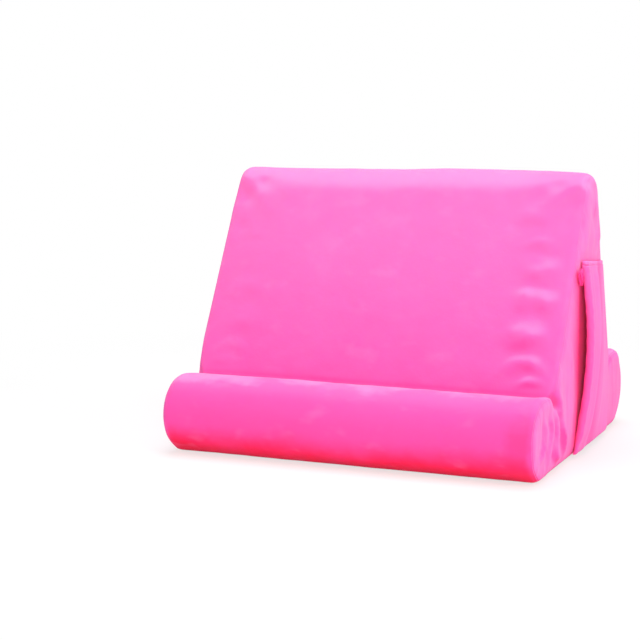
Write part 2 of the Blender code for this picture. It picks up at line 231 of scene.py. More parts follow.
class Section:
    """The places that give the body its outline, from the front roll to the rear one."""

    def __init__(self):
        self.front_roll = np.array([LEDGE_BOX[0].y + FRONT_RADIUS, FRONT_RADIUS])
        self.rear_roll = np.array([REAR_BOX[1].y - REAR_RADIUS, REAR_RADIUS])
        self.slope, self.fall = unit(BACKREST_ANGLE), unit(-BACK_ANGLE)
        self.face, self.rear_face = unit(BACKREST_ANGLE + 90), unit(90 - BACK_ANGLE)
        self.groove = np.array([self.front_roll[0] + LEDGE_DEPTH, GROOVE_HEIGHT])
        climb = (TOP_HEIGHT - RIDGE_RADIUS + RIDGE_RADIUS * self.face[1] - GROOVE_HEIGHT) / self.slope[1]
        self.ridge = self.groove + climb * self.slope - RIDGE_RADIUS * self.face
        self.ridge_front = self.ridge + RIDGE_RADIUS * self.face
        self.ridge_rear = self.ridge + RIDGE_RADIUS * self.rear_face
        drop = (self.ridge_rear[1] - REAR_GROOVE_HEIGHT) / -self.fall[1]
        self.rear_groove = self.ridge_rear + drop * self.fall
        self.slope_length = float(np.linalg.norm(self.ridge_front - self.groove))
        self.back_length = float(np.linalg.norm(self.rear_groove - self.ridge_rear))

    def back_y(self, height):
        """Depth of the back face at a height."""
        return self.ridge_rear[0] + (height - self.ridge_rear[1]) * self.fall[0] / self.fall[1]

    def panels(self):
        edge = np.array([self.front_roll[0] - BASE_EDGE_SETBACK, 0.0])
        seam = edge + np.array([BASE_SEAM_SETBACK, 0.0])
        start = touch_angle(self.front_roll, FRONT_RADIUS, edge, -1) % 360
        end = touch_angle(self.front_roll, FRONT_RADIUS, self.groove, 1)
        front_arc = arc(self.front_roll, FRONT_RADIUS, start, end)
        rear_edge = np.array([self.rear_roll[0] + BASE_EDGE_SETBACK, 0.0])
        rear_seam = rear_edge - np.array([BASE_SEAM_SETBACK, 0.0])
        rear_start = touch_angle(self.rear_roll, REAR_RADIUS, self.rear_groove, -1)
        rear_end = touch_angle(self.rear_roll, REAR_RADIUS, rear_edge, 1)
        rear_arc = arc(self.rear_roll, REAR_RADIUS, rear_start, rear_end)
        ridge_arc = arc(self.ridge, RIDGE_RADIUS, BACKREST_ANGLE + 90, 90 - BACK_ANGLE)
        return {
            "front_ledge_panel": chain([seam, edge], run(edge, front_arc[0]), front_arc,
                                       run(front_arc[-1], self.groove)),
            "front_panel": chain(run(self.groove, self.ridge_front), ridge_arc),
            "back_panel": run(self.ridge_rear, self.rear_groove),
            "rear_ledge_panel": chain(run(self.rear_groove, rear_arc[0]), rear_arc,
                                      run(rear_arc[-1], rear_edge), [rear_edge, rear_seam]),
            "base_panel": run(rear_seam, seam),
        }


def outward_normals(loop):
    """Mitred outward normals of a closed clockwise loop."""
    before, after = loop - np.roll(loop, 1, axis=0), np.roll(loop, -1, axis=0) - loop
    before /= np.linalg.norm(before, axis=1)[:, None]
    after /= np.linalg.norm(after, axis=1)[:, None]
    one = np.stack([-before[:, 1], before[:, 0]], axis=1)
    two = np.stack([-after[:, 1], after[:, 0]], axis=1)
    return (one + two) / (1 + (one * two).sum(axis=1))[:, None]


SECTION = Section()
LOOP_POINTS, LOOP_PANELS = [], []
for panel_name, panel_points in SECTION.panels().items():
    LOOP_POINTS.extend(panel_points[:-1])
    LOOP_PANELS.extend([panel_name] * (len(panel_points) - 1))
OUTLINE = np.array(LOOP_POINTS)
NORMALS = outward_normals(OUTLINE)


def edge_distance(places):
    """Distance of each (depth, height) to the outline."""
    start, side = OUTLINE, np.roll(OUTLINE, -1, axis=0) - OUTLINE
    away = places[:, None, :] - start[None]
    share = np.clip((away * side).sum(axis=2) / (side * side).sum(axis=1), 0, 1)
    return np.linalg.norm(away - share[..., None] * side[None], axis=2).min(axis=1)


def end_face_x(places):
    """How far out the right end's face lies at each (depth, height)."""
    inset = edge_distance(places)
    short = np.clip(END_ROUNDING - inset, 0, END_ROUNDING)
    rounded = np.sqrt(END_ROUNDING**2 - short**2) - END_ROUNDING
    return HALF_WIDTH + rounded + END_PUFF * smooth((inset - END_ROUNDING) / END_PUFF_REACH)


# Cover: one closed mesh of even cells, blown up as cloth, then split into its panels


def grid_cells(rows, columns, wraps=False):
    """Four-sided faces of a grid of points, whose rows may each close to a ring."""
    cells = []
    for row in range(rows - 1):
        for column in range(columns if wraps else columns - 1):
            here, beside = row * columns + column, row * columns + (column + 1) % columns
            cells.append([here, beside, beside + columns, here + columns])
    return cells


def inside_loop(place, loop):
    """Whether a 2D place lies inside a closed loop."""
    y, z = place
    a, b = loop, np.roll(loop, -1, axis=0)
    spans = (a[:, 1] > z) != (b[:, 1] > z)
    cross = a[:, 0] + (z - a[:, 1]) / np.where(spans, b[:, 1] - a[:, 1], 1.0) * (b[:, 0] - a[:, 0])
    return bool((spans & (y < cross)).sum() % 2)


def end_cells(ring):
    """Triangles that fill an end's flat face: the ring's points, then rows of points inside it."""
    low, high = ring.min(axis=0), ring.max(axis=0)
    row_step = CELL * math.sqrt(3) / 2
    side = np.roll(ring, -1, axis=0) - ring
    places = []
    for row in range(int((high[1] - low[1]) / row_step) + 1):
        shift = CELL / 2 * (row % 2)
        for column in range(int((high[0] - low[0]) / CELL) + 1):
            place = low + np.array([shift + column * CELL, row * row_step])
            away = place - ring
            share = np.clip((away * side).sum(axis=1) / (side * side).sum(axis=1), 0, 1)
            near = np.linalg.norm(away - share[:, None] * side, axis=1).min()
            if near > RING_GAP and inside_loop(place, ring):
                places.append(place)
    points = [Vector(p) for p in ring] + [Vector(p) for p in places]
    found = delaunay_2d_cdt(points, [], [list(range(len(ring)))], 1, 1e-7)
    return np.array(places), [[found[3][v][0] for v in face] for face in found[2]]


def start_mesh():
    """The cover before it swells, as points, faces and each face's panel."""
    flats = np.linspace(-FLAT_HALF, FLAT_HALF, round(2 * FLAT_HALF / CELL) + 1)
    columns = [(-FLAT_HALF, -tilt) for tilt in reversed(TILTS)]
    columns += [(x, 0.0) for x in flats] + [(FLAT_HALF, tilt) for tilt in TILTS]
    rows = len(OUTLINE)
    along = ((OUTLINE - SECTION.groove) @ SECTION.slope) / SECTION.slope_length
    down = ((OUTLINE - SECTION.ridge_rear) @ SECTION.fall) / SECTION.back_length
    is_front = np.array([p == "front_panel" for p in LOOP_PANELS]) & (along > 0) & (along < 1)
    is_back = np.array([p == "back_panel" for p in LOOP_PANELS]) & (down > 0) & (down < 1)
    crown = CROWN * np.sin(np.pi * np.clip(along, 0, 1)) * is_front
    crown += BACK_CROWN * np.sin(np.pi * np.clip(down, 0, 1)) * is_back
    points = []
    for x, tilt in columns:
        lean = math.radians(tilt)
        out = x + END_ROUNDING * math.sin(lean)
        inset = END_ROUNDING * (1 - math.cos(lean))
        lift = crown * (1 - (x / FLAT_HALF) ** 2) if tilt == 0 else crown * 0
        place = OUTLINE - NORMALS * (inset - lift)[:, None]
        points.append(np.column_stack([np.full(rows, out), place]))
    points = list(np.concatenate(points))
    faces, panels = grid_cells(len(columns), rows, wraps=True), []
    for (_, tilt), (_, following) in zip(columns, columns[1:]):
        if min(tilt, following) < -SEAM_TILT:
            panels.extend(["left_end_panel"] * rows)
        elif max(tilt, following) > SEAM_TILT:
            panels.extend(["right_end_panel"] * rows)
        else:
            panels.extend(LOOP_PANELS)
    ring = OUTLINE - NORMALS * END_ROUNDING
    inner, cells = end_cells(ring)
    puff = end_face_x(inner)
    last = (len(columns) - 1) * rows
    for side, first, panel in ((-1, 0, "left_end_panel"), (1, last, "right_end_panel")):
        base = len(points)
        points.extend(np.column_stack([side * puff, inner]))
        for cell in cells:
            faces.append([first + v if v < rows else base + v - rows for v in cell])
            panels.append(panel)
    return np.array(points), faces, panels


def seam_points(mesh, ends_only=False):
    """Vertices where two panels meet, or only where an end meets the rest."""
    panels = {}
    for face in mesh.polygons:
        for vertex in face.vertices:
            panels.setdefault(vertex, set()).add(face.material_index)
    ends = {PANELS.index("left_end_panel"), PANELS.index("right_end_panel")}
    shared = [vertex for vertex, found in panels.items() if len(found) > 1]
    return [vertex for vertex in shared if panels[vertex] & ends] if ends_only else shared


def swell(cover, seams):
    """Blows the cover up as cloth that its seams and its flat base hold."""
    group = cover.vertex_groups.new(name="held")
    base = PANELS.index("base_panel")
    held = set(seams)
    for face in cover.data.polygons:
        if face.material_index == base:
            held.update(face.vertices)
    group.add(sorted(held), 1.0, "REPLACE")
    cloth = cover.modifiers.new("cloth", "CLOTH")
    cloth.settings.vertex_group_mass = group.name
    cloth.settings.quality = 5
    cloth.settings.mass = 0.3
    cloth.settings.tension_stiffness = 25
    cloth.settings.compression_stiffness = 25
    cloth.settings.shear_stiffness = 15
    cloth.settings.bending_stiffness = 1.5
    cloth.settings.use_pressure = True
    cloth.settings.uniform_pressure_force = SIM_PRESSURE
    cloth.settings.effector_weights.gravity = 0
    cloth.collision_settings.use_collision = False
    for number in range(1, SIM_FRAMES + 1):
        bpy.context.scene.frame_set(number)
    blown = of_vertices(cover.evaluated_get(bpy.context.evaluated_depsgraph_get()).data, "co")
    cover.modifiers.remove(cloth)
    bpy.context.scene.frame_set(1)
    return blown


def swell_limit(mesh):
    """How far each point may move: its panel's swell, and the smallest of them at a seam."""
    limit = np.full(len(mesh.vertices), np.inf)
    for face in mesh.polygons:
        most = SWELL[PANELS[face.material_index]]
        for vertex in face.vertices:
            limit[vertex] = min(limit[vertex], most)
    return limit


def new_object(name, data):
    made = bpy.data.objects.new(name, data)
    bpy.context.scene.collection.objects.link(made)
    return made


def of_vertices(mesh, key):
    """The places, or the normals, of a mesh's vertices as rows."""
    found = np.zeros(len(mesh.vertices) * 3)
    mesh.vertices.foreach_get(key, found)
    return found.reshape(-1, 3)


def set_coordinates(mesh, points):
    mesh.vertices.foreach_set("co", points.astype(np.float32).ravel())
    mesh.update()


def clean(mesh):
    """Joins the points that coincide, and turns every face outwards."""
    work = bmesh.new()
    work.from_mesh(mesh)
    bmesh.ops.remove_doubles(work, verts=work.verts, dist=MERGE_DISTANCE)
    bmesh.ops.recalc_face_normals(work, faces=work.faces)
    work.to_mesh(mesh)
    work.free()


def cover_mesh():
    """The swollen cover, subdivided, with its panels as material indices."""
    points, faces, panels = start_mesh()
    mesh = bpy.data.meshes.new("cover")
    mesh.from_pydata(points.tolist(), [], faces)
    mesh.polygons.foreach_set("material_index", [PANELS.index(p) for p in panels])
    clean(mesh)
    cover = new_object("cover", mesh)
    seams = seam_points(mesh)
    start = of_vertices(mesh, "co")
    move = swell(cover, seams) - start
    length = np.linalg.norm(move, axis=1)
    limit = swell_limit(mesh)
    share = limit * np.tanh(length / np.maximum(limit, 1e-9)) / np.maximum(length, 1e-9)
    set_coordinates(mesh, start + move * share[:, None])
    crease = mesh.attributes.new("crease_edge", "FLOAT", "EDGE")
    on_seam = set(seams)
    sharp = [SEAM_CREASE if on_seam.issuperset(edge.vertices) else 0.0 for edge in mesh.edges]
    crease.data.foreach_set("value", sharp)
    divide = cover.modifiers.new("divide", "SUBSURF")
    divide.levels = divide.render_levels = SUBDIVISIONS
    graph = bpy.context.evaluated_depsgraph_get()
    fine = bpy.data.meshes.new_from_object(cover.evaluated_get(graph))
    bpy.data.objects.remove(cover)
    return fine


# Wrinkles: each field gives the height over the swollen cover at a set of points


def away_from(points, place):
    return np.linalg.norm(points - np.array(place), axis=1)


def rolling(points, scale, seed):
    """Soft unevenness from -1 to 1."""
    offset = Vector((seed * 3.7, seed * 1.9, seed * 5.3))
    return np.array([noise.noise(Vector(p) / scale + offset) for p in points])


def seam_distance(mesh, points, ends_only=False):
    """Distance of each point to the nearest seam point, up to a few seam widths."""
    seams = seam_points(mesh, ends_only)
    tree = kdtree.KDTree(len(seams))
    for index, vertex in enumerate(seams):
        tree.insert(points[vertex], index)
    tree.balance()
    return np.array([tree.find(p)[2] for p in points])


# Unevenness all over the cover but its base: its height, the size of its bumps, seed
UNEVENNESS = ((0.00045, 0.045, 1), (0.00022, 0.014, 2))
FLAT_BELOW = 0.001

# Puckers along the backrest's right seam: height, how far out, depth, reach across, reach along, arch
RIGHT_PUCKERS = (
    (0.1850, 0.110, 0.0010, 0.013, 0.0060, 0.001),
    (0.1655, 0.122, 0.0014, 0.011, 0.0045, 0.001),
    (0.1463, 0.124, 0.0020, 0.014, 0.0095, 0.001),
    (0.1240, 0.114, 0.0026, 0.008, 0.0080, 0.000),
    (0.1235, 0.131, 0.0026, 0.009, 0.0078, -0.001),
    (0.0980, 0.121, 0.0034, 0.014, 0.0086, 0.001),
    (0.0800, 0.123, 0.0026, 0.014, 0.0058, 0.005),
    (0.0669, 0.131, 0.0016, 0.009, 0.0038, 0.002),
)
PUCKER_WARP = 0.0022
PUCKER_HOLLOW = 0.30
HOLLOW_OFFSET = 1.7
LEFT_PUCKERS = 0.25

# Dents, or swellings where the depth is below nothing: (x, depth, height), depth of the dent, radius
DENTS = (
    ((0.1430, -0.001, 0.1965), 0.0022, 0.0110),
    ((0.1500, 0.013, 0.2130), 0.0026, 0.0075),
    ((0.1390, -0.010, 0.1830), 0.0012, 0.0090),
    ((0.1260, 0.006, 0.2100), 0.0008, 0.0070),
    ((0.1140, 0.000, 0.1990), 0.0009, 0.0080),
    ((0.1405, -0.132, 0.0490), 0.0018, 0.0075),
    ((0.1410, -0.139, 0.0340), 0.0012, 0.0080),
    ((0.1530, 0.014, 0.1700), -0.0016, 0.0070),
    ((0.1490, 0.116, 0.0625), -0.0022, 0.0085),
    ((-0.1480, 0.116, 0.0625), -0.0014, 0.0100),
    ((-0.1400, -0.002, 0.1960), 0.0014, 0.0080),
    ((-0.1280, 0.003, 0.2060), 0.0012, 0.0080),
    ((-0.1380, -0.016, 0.1720), 0.0008, 0.0070),
)

# The cover is pulled in where the ledges' end seams meet the grooves, and stands square at the ledge's end
PINCH_PULL = 0.0050
PINCH_RADIUS = 0.0065
LEDGE_CORNERS = (
    ((0.149, -0.104, 0.059), (0.0004, 0.0, 0.0010), 0.0100),
    ((0.151, -0.093, 0.057), (0.0010, 0.0, 0.0028), 0.0080),
)

# The left edge is pulled out between the roll and the ridge, and the ridge is lifted right of its middle
EDGE_FADE = 0.030
LEFT_PULL = 0.0018
LEFT_PULL_FROM = 0.130
LEFT_PULL_REACH = 0.020
LEFT_PULL_TOP = 0.180
RIDGE_LIFT = 0.0030
RIDGE_LIFT_PLACE = 0.055
RIDGE_LIFT_WIDTH = 0.090
RIDGE_LIFT_DEPTH = 0.034

# The rounded edge at the front roll's right end is drawn out a little
CRISP_EDGE_PULL = 0.0006
CRISP_EDGE_WIDTH = 0.0042
CRISP_EDGE_INSET = 0.0023

# Folds on the right end: where each starts and ends as (depth, height), height of the fold, half width
END_FOLDS = (
    ((-0.084, 0.054), (-0.080, 0.004), 0.0032, 0.0040),
    ((-0.071, 0.062), (-0.058, 0.006), 0.0030, 0.0046),
    ((-0.095, 0.050), (-0.101, 0.006), 0.0024, 0.0034),
    ((-0.110, 0.046), (-0.118, 0.014), 0.0020, 0.0038),
    ((-0.046, 0.092), (-0.041, 0.020), 0.0012, 0.0060),
    ((0.008, 0.198), (-0.010, 0.160), 0.0014, 0.0050),
    ((0.022, 0.200), (0.034, 0.160), 0.0020, 0.0060),
)
FOLD_WANDER = 0.0045
FOLD_SWAY = 0.0022
FOLD_FADE = 0.35
FOLD_OVERRUN = 0.1
FOLD_FLOOR_FADE = 0.016
FOLDS_AT_SEAM = 0.45
LEFT_FOLDS = 0.6


def puckers(points, sign):
    """Height of the backrest's puckers along one end's seam."""
    warp = PUCKER_WARP * rolling(points, 0.020, 5)
    along = (points[:, 1:] - SECTION.groove) @ SECTION.slope + warp
    out_x = sign * points[:, 0] + PUCKER_WARP * rolling(points, 0.016, 6)
    strength = 1 + 0.5 * rolling(points, 0.012, 7)
    height = np.zeros(len(points))
    for level, out, depth, across, reach, arch in RIGHT_PUCKERS:
        centre = (level - SECTION.groove[1]) / SECTION.slope[1]
        side = (out_x - out) / across
        offset = along - centre + arch * side**2
        hollow = PUCKER_HOLLOW * bump(offset + HOLLOW_OFFSET * reach, reach)
        height += depth * bump(side, 1.0) * (bump(offset, reach) - hollow)
    return height * strength


def folds(points, places):
    """Height of the folds on an end, each along a line that fades at its ends."""
    height = np.zeros(len(points))
    uneven = FOLD_WANDER * rolling(points, 0.022, 8)
    strength = 1 + 0.6 * rolling(points, 0.014, 9)
    for start, end, rise, width in places:
        start, end = np.array(start), np.array(end)
        line = end - start
        share = ((points[:, 1:] - start) @ line) / (line @ line)
        sway = FOLD_SWAY * np.sin(share * 5.0 + start[0] * 90) + uneven
        across = ((points[:, 1:] - start) @ np.array([-line[1], line[0]])) / np.linalg.norm(line) + sway
        ends = smooth((share + FOLD_OVERRUN) / FOLD_FADE) * smooth((1 + FOLD_OVERRUN - share) / FOLD_FADE)
        ends = ends * smooth(points[:, 2] / FOLD_FLOOR_FADE)
        height += rise * ends * (bump(across, width) - 0.5 * bump(across + 2 * width, width))
    return height * strength


def crisp_edge(points):
    """Pull that sharpens the rounded edge at the front roll's right end."""
    spoke = points[:, 1:] - SECTION.front_roll
    reach = np.linalg.norm(spoke, axis=1)
    inset = CRISP_EDGE_INSET
    away = np.hypot(reach - FRONT_RADIUS + inset, points[:, 0] - HALF_WIDTH + inset)
    amount = CRISP_EDGE_PULL * bump(away, CRISP_EDGE_WIDTH) * (points[:, 1] < SECTION.groove[0])
    outward = np.column_stack([np.ones(len(points)), spoke / np.maximum(reach, 1e-9)[:, None]])
    return outward * math.sqrt(0.5) * amount[:, None]


def wrinkle(mesh):
    """Adds seams, puckers, dents and folds to the subdivided cover."""
    points, normals = of_vertices(mesh, "co"), of_vertices(mesh, "normal")
    panel = np.zeros((len(points), len(PANELS)))
    for face in mesh.polygons:
        for vertex in face.vertices:
            panel[vertex, face.material_index] = 1.0
    seam = seam_distance(mesh, points)
    free = smooth(seam / SEAM_FADE)
    pulls = np.zeros_like(points)
    height = free * sum(rise * rolling(points, size, seed) for rise, size, seed in UNEVENNESS)
    front = panel[:, PANELS.index("front_panel")]
    height += front * free * (puckers(points, 1) + LEFT_PUCKERS * puckers(points, -1))
    right = panel[:, PANELS.index("right_end_panel")]
    height += right * (FOLDS_AT_SEAM + (1 - FOLDS_AT_SEAM) * free) * folds(points, END_FOLDS)
    left = panel[:, PANELS.index("left_end_panel")]
    height += left * free * LEFT_FOLDS * folds(points, END_FOLDS)
    for place, depth, radius in DENTS:
        height -= depth * bump(away_from(points, place), radius)
    end_seam = bump(seam_distance(mesh, points, ends_only=True), SEAM_WIDTH)
    height -= (SEAM_DEPTH + (END_SEAM_DEPTH - SEAM_DEPTH) * end_seam) * bump(seam, SEAM_WIDTH)
    for corner in (SECTION.groove, SECTION.rear_groove):
        for side in (-1, 1):
            away = away_from(points, (side * HALF_WIDTH, *corner))
            pulls[:, 0] -= side * PINCH_PULL * bump(away, PINCH_RADIUS)
    for place, pull, radius in LEDGE_CORNERS:
        pulls += np.array(pull) * bump(away_from(points, place), radius)[:, None]
    pulls += crisp_edge(points)
    above_roll = smooth((points[:, 2] - GROOVE_HEIGHT) / EDGE_FADE)
    below_ridge = 1 - 0.5 * smooth((points[:, 2] - LEFT_PULL_TOP) / EDGE_FADE)
    at_left = smooth((-points[:, 0] - LEFT_PULL_FROM) / LEFT_PULL_REACH)
    pulls[:, 0] -= LEFT_PULL * at_left * above_roll * below_ridge
    lift = RIDGE_LIFT * bump(points[:, 0] - RIDGE_LIFT_PLACE, RIDGE_LIFT_WIDTH)
    pulls[:, 2] += lift * smooth((points[:, 2] - TOP_HEIGHT + RIDGE_LIFT_DEPTH) / EDGE_FADE)
    base = panel[:, PANELS.index("base_panel")]
    height *= 1 - base * smooth((FLAT_BELOW - points[:, 2]) / FLAT_BELOW)
    points = points + normals * height[:, None] + pulls
    points[:, 2] = np.maximum(points[:, 2], 0.0)
    set_coordinates(mesh, points)


def split_panels(mesh):
    """Cuts the cover along its seams into a closed piece of fabric for each panel."""
    made = {}
    for index, name in enumerate(PANELS):
        work = bmesh.new()
        work.from_mesh(mesh)
        others = [face for face in work.faces if face.material_index != index]
        bmesh.ops.delete(work, geom=others, context="FACES")
        for face in work.faces:
            face.material_index = 0
        data = bpy.data.meshes.new(name)
        work.to_mesh(data)
        work.free()
        piece = new_object(name + "_plush", data)
        solid = piece.modifiers.new("fabric", "SOLIDIFY")
        solid.thickness = FABRIC
        solid.offset = -1
        data.shade_smooth()
        made[name] = piece
    return made


# Pocket


def pocket_rear(height):
    return np.minimum(SECTION.back_y(height) - POCKET_EDGE_INSET, POCKET_REAR_Y)


def mouth_gape(share):
    """How far the mouth stands open at a share of its height: widest a little above the middle."""
    return MOUTH_GAPE * np.maximum(np.sin(np.pi * share**GAPE_LOW_POWER), 0.0) ** GAPE_WIDE_POWER


def band_thickness(share):
    """Thickness of the mouth band at a share of its height: it narrows to a point at its foot."""
    return BAND_THICKNESS * (FOOT_SHARE + (1 - FOOT_SHARE) * smooth(share / FOOT_REACH))


def pocket_place(back, share):
    """(depth, height) and the share of the way back, at a distance back from the mouth."""
    height = POCKET_FOOT + POCKET_HEIGHT * share
    length = pocket_rear(height) - MOUTH_Y
    way = np.minimum(back / length, 1.0)
    height = height - POCKET_TOP_FALL * way * share
    forward = MOUTH_LEAN * (1 - share**4) * (1 - way)
    return np.stack([MOUTH_Y + np.minimum(back, length) - forward, height], axis=-1), way


# Folds that run down the pocket: how far back each lies, its height and half width
POCKET_FOLDS = (
    (0.0085, 0.0008, 0.0022),
    (0.0220, 0.0024, 0.0062),
    (0.0400, -0.0018, 0.0060),
    (0.0570, 0.0010, 0.0060),
)
FOLD_LEAN = 0.004
POCKET_FOLD_SWAY = 0.0012
BAND_STITCH_DEPTH = 0.0010
BAND_STITCH_WIDTH = 0.0013

# Gathers along the mouth's lip: two waves, the finer one only in the upper half
GATHER_HEIGHT = 0.00016
GATHERS = 11
FINE_GATHER_HEIGHT = 0.00012
FINE_GATHERS = 27


def pocket_relief(back, share):
    """Height of the pocket's folds, which gather at its hem and its foot."""
    lean = FOLD_LEAN * (1 - share) ** 2
    height = np.zeros(np.broadcast(back, share).shape)
    ends = 0.15 + 0.85 * smooth(share / 0.22) * smooth((1.02 - share) / 0.12)
    for number, (middle, rise, width) in enumerate(POCKET_FOLDS):
        sway = POCKET_FOLD_SWAY * np.sin(7 * share + 2.1 * number)
        height = height + rise * ends * bump(back - middle - sway + lean, width)
    return height - BAND_STITCH_DEPTH * bump(back - BAND_WIDTH, BAND_STITCH_WIDTH)


def pocket_face(back, share, depth):
    """Places depth below the pocket's outer face, for arrays of distance back and share of height."""
    back, share = np.broadcast_arrays(np.asarray(back, float), np.asarray(share, float))
    places, way = pocket_place(back, share)
    at_mouth = band_thickness(share) - POCKET_FABRIC + mouth_gape(share)
    stand = POCKET_FABRIC + POCKET_SEAT_GAP + (1 - way) ** POCKET_SLACK_POWER * at_mouth
    stand = stand + pocket_relief(back, share) * (1 - way**4)
    out = end_face_x(places.reshape(-1, 2)).reshape(back.shape) + stand - depth
    return np.stack([out, places[..., 0], places[..., 1]], axis=-1)


def closed_sheet(name, outer, inner):
    """A closed sheet from two grids of points, joined round their rim."""
    rows, columns = outer.shape[:2]
    count = rows * columns
    points = np.concatenate([outer.reshape(-1, 3), inner.reshape(-1, 3)])
    faces = grid_cells(rows, columns)
    faces += [[count + v for v in reversed(cell)] for cell in faces]
    rim = [(0, c) for c in range(columns)] + [(r, columns - 1) for r in range(1, rows)]
    rim += [(rows - 1, c) for c in range(columns - 2, -1, -1)] + [(r, 0) for r in range(rows - 2, 0, -1)]
    ids = [r * columns + c for r, c in rim]
    for here, following in zip(ids, ids[1:] + ids[:1]):
        faces.append([following, here, count + here, count + following])
    return mesh_object(name, points, faces)


def mesh_object(name, points, faces):
    mesh = bpy.data.meshes.new(name)
    mesh.from_pydata(np.asarray(points).tolist(), [], faces)
    clean(mesh)
    mesh.shade_smooth()
    return new_object(name, mesh)


def pocket_shares(count):
    top = 1 - (TOP_HEM_HEIGHT - HEM_OVERLAP) / POCKET_HEIGHT
    return np.linspace(0, top, count)[:, None]


def pocket_panel():
    shares = pocket_shares(POCKET_ROWS)
    height = POCKET_FOOT + POCKET_HEIGHT * shares
    start = BAND_WIDTH - BAND_OVERLAP
    across = np.linspace(0, 1, SHEET_COLUMNS)[None, :] ** 0.9
    back = start + (pocket_rear(height) - MOUTH_Y - start) * across
    outer = pocket_face(back, shares, 0.0)
    return closed_sheet("pocket_panel_plush", outer, pocket_face(back, shares, FABRIC))


def pocket_mouth_band():
    """A strip folded round the mouth's elastic, a little gathered along its lip."""
    shares = pocket_shares(BAND_ROWS)
    radius = band_thickness(shares) / 2
    layer = radius + (BAND_WIDTH - radius) * np.linspace(0, 1, SHEET_COLUMNS)[None, :]
    closed = 2 * FABRIC + POCKET_SEAT_GAP
    thick = 2 * radius + (closed - 2 * radius) * (layer - radius) / (BAND_WIDTH - radius)
    tilts = np.radians(np.linspace(0, 180, 13)[1:-1])[None, :]
    gather = GATHER_HEIGHT * np.sin(shares * 2 * np.pi * GATHERS + 1.5 * np.sin(shares * 9))
    fine = FINE_GATHER_HEIGHT * np.sin(shares * 2 * np.pi * FINE_GATHERS + 2.0)
    gather = gather + fine * smooth((shares - 0.55) / 0.4)

    def skin(depth):
        lip = gather * bump(layer, 0.012)
        outside = pocket_face(layer, shares, depth - lip)[:, ::-1]
        around = pocket_face(radius, shares, radius)
        turn = np.stack([np.cos(tilts), -np.sin(tilts), 0 * tilts], axis=-1)
        fold = around + (radius - depth + gather)[..., None] * turn
        inside = pocket_face(layer, shares, thick - depth)
        return np.concatenate([outside, fold, inside], axis=1)

    return closed_sheet("pocket_mouth_band_plush", skin(0.0), skin(FABRIC))


def mouth_elastic():
    """The elastic inside the mouth band, from above its narrow foot to under the hem."""
    shares = np.linspace(FOOT_REACH, ELASTIC_TOP, 60)[:, None]
    turn = round_turn(12)
    half = band_thickness(shares) / 2
    middle = pocket_face(half, shares, half)
    ring = ELASTIC_RADIUS * np.stack([np.cos(turn), np.sin(turn), 0 * turn], axis=-1)
    return closed_tube("mouth_elastic_cord", middle + ring)


def round_turn(count):
    """Evenly spaced angles of a full turn, as one row."""
    return np.linspace(0, 2 * np.pi, count + 1)[:-1][None, :]


def squared(wave):
    """A sine or cosine that is drawn out towards a square's sides."""
    return np.sign(wave) * np.abs(wave) ** HEM_SQUARENESS


def closed_tube(name, rings):
    """A tube from a grid of points, one row for each ring, closed at both ends."""
    rows, columns = rings.shape[:2]
    faces = grid_cells(rows, columns, wraps=True)
    faces.append(list(range(columns)))
    faces.append([(rows - 1) * columns + c for c in reversed(range(columns))])
    return mesh_object(name, rings.reshape(-1, 3), faces)


def pocket_top_hem():
    """The flat strip along the pocket's top edge."""
    length = float(pocket_rear(POCKET_TOP)) - MOUTH_Y
    backs = np.linspace(HEM_START, length, 60)[:, None]
    turn = round_turn(20)
    middle_share = 1 - TOP_HEM_HEIGHT / 2 / POCKET_HEIGHT
    foot = pocket_face(backs, middle_share, 0.0)
    places, way = pocket_place(backs, middle_share)
    face = end_face_x(places.reshape(-1, 2)).reshape(backs.shape)
    thick = foot[..., 0] - face - HEM_SINK - HEM_SINK_SLACK * (1 - way)
    high = HEM_HALF_HEIGHT * (0.96 + 0.04 * np.sin(backs * 300))
    across, along = squared(np.cos(turn)), squared(np.sin(turn))
    out = face + HEM_GAP + HEM_GAP_SLACK * (1 - way) + thick / 2 * (1 + across)
    up = places[..., 1] + high * along
    depth = np.broadcast_to(MOUTH_Y + backs, out.shape)
    return closed_tube("pocket_top_hem_plush", np.stack([out, depth, up], axis=-1))


def pocket_tuck():
    """The lump where the mouth's elastic is tied and stitched down."""
    low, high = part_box("pocket_tuck")
    middle = (low + high) / 2 - TUCK_SHIFT
    radii = [share * half for share, half in zip(TUCK_SHARES, (high - low) / 2)]
    work = bmesh.new()
    bmesh.ops.create_icosphere(work, subdivisions=5, radius=1)
    for vert in work.verts:
        around = math.atan2(vert.co.y, vert.co.x)
        pleat = TUCK_PLEAT_RISE * math.sin(TUCK_PLEATS * around + 4 * vert.co.z)
        rough = TUCK_ROUGHNESS * noise.noise(vert.co * 2.6 + Vector((4.1, 0.7, 2.3)))
        swollen = 1 + pleat * (1 - vert.co.z**2) + rough
        vert.co = Vector(middle[k] + radii[k] * vert.co[k] * swollen for k in range(3))
    mesh = bpy.data.meshes.new("pocket_tuck_plush")
    work.to_mesh(mesh)
    work.free()
    mesh.shade_smooth()
    return new_object("pocket_tuck_plush", mesh)


# Materials


